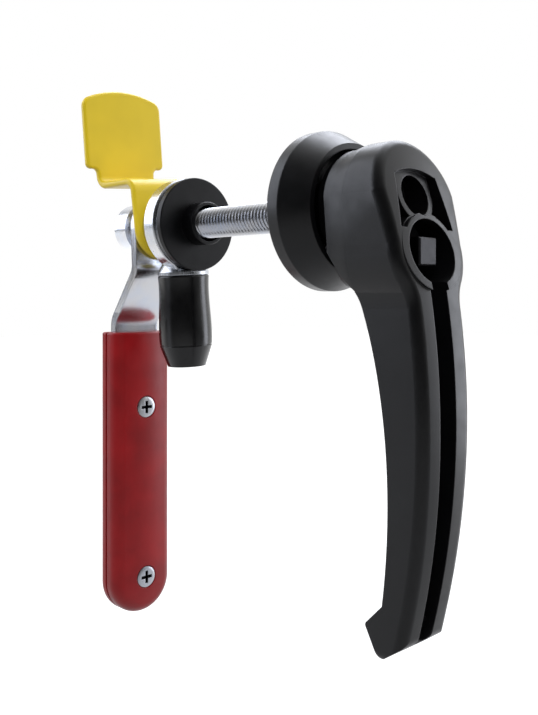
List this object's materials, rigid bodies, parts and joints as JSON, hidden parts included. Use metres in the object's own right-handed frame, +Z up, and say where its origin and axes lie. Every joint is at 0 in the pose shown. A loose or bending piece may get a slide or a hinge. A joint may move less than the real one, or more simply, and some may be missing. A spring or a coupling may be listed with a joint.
{
  "type": "locking door handle",
  "caption": "Through-door handle: black outer lever with square-key lock on a rosette, threaded spindle, cam arm with roller, folded yellow catch and red-gripped inner lever.",
  "frame": {"origin": "on the spindle's axis at the rosette's back face, where it meets the door's outer skin", "axes": "+X along the spindle out of the door towards the outer lever, +Z up with both levers hanging down, +Y the side the levers swing to"},
  "size_m": [0.1708, 0.0544, 0.2269],
  "materials": {
    "black_moulding": "fine satin grain",
    "black_disc": "smooth satin",
    "roller_black": "polished body with a satin nose",
    "zinc": "bright zinc plate",
    "lock_metal": "dull cast zinc",
    "yellow_paint": "satin powder coat",
    "red_grip": "soft gloss",
    "gasket_rubber": "plain",
    "brass": "machined",
    "fastener": "zinc plated"
  },
  "bodies": {
    "door_side": {"rosette": "black_moulding", "rosette_gasket": "gasket_rubber", "rosette_bush": "brass", "bearing_disc": "black_disc", "thrust_washer": "zinc"},
    "handle": {"outer_handle": "black_moulding", "threaded_insert": "brass", "spindle_bolt": "zinc", "collar_nut": "zinc", "cam_arm": "zinc", "roller_axle": "fastener", "hub_spacer": "zinc", "lever_bar": "zinc", "grip_front": "red_grip", "grip_rear": "red_grip", "grip_screws": "fastener", "grip_nuts": "fastener", "end_sleeve": "zinc"},
    "roller": {"roller": "roller_black"},
    "lock": {"lock_plug": "lock_metal", "lock_circlip": "lock_metal"},
    "catch": {"safety_catch": "yellow_paint"}
  },
  "joints": [
    {"name": "handle_turn", "type": "hinge", "parent": "door_side", "child": "handle", "pos_m": [0, 0, 0], "axis": [1, 0, 0], "range_deg": [0, 90]},
    {"name": "roller_spin", "type": "hinge", "parent": "handle", "child": "roller", "pos_m": [-0.0794, 0, 0], "axis": [0, -0.0506, 0.9987], "continuous": true},
    {"name": "lock_turn", "type": "hinge", "parent": "handle", "child": "lock", "pos_m": [0.02, 0, -0.015], "axis": [1, 0, 0], "range_deg": [0, 180]},
    {"name": "catch_turn", "type": "hinge", "parent": "handle", "child": "catch", "pos_m": [-0.0927, 0, 0], "axis": [1, 0, 0], "range_deg": [-45, 45]}
  ]
}
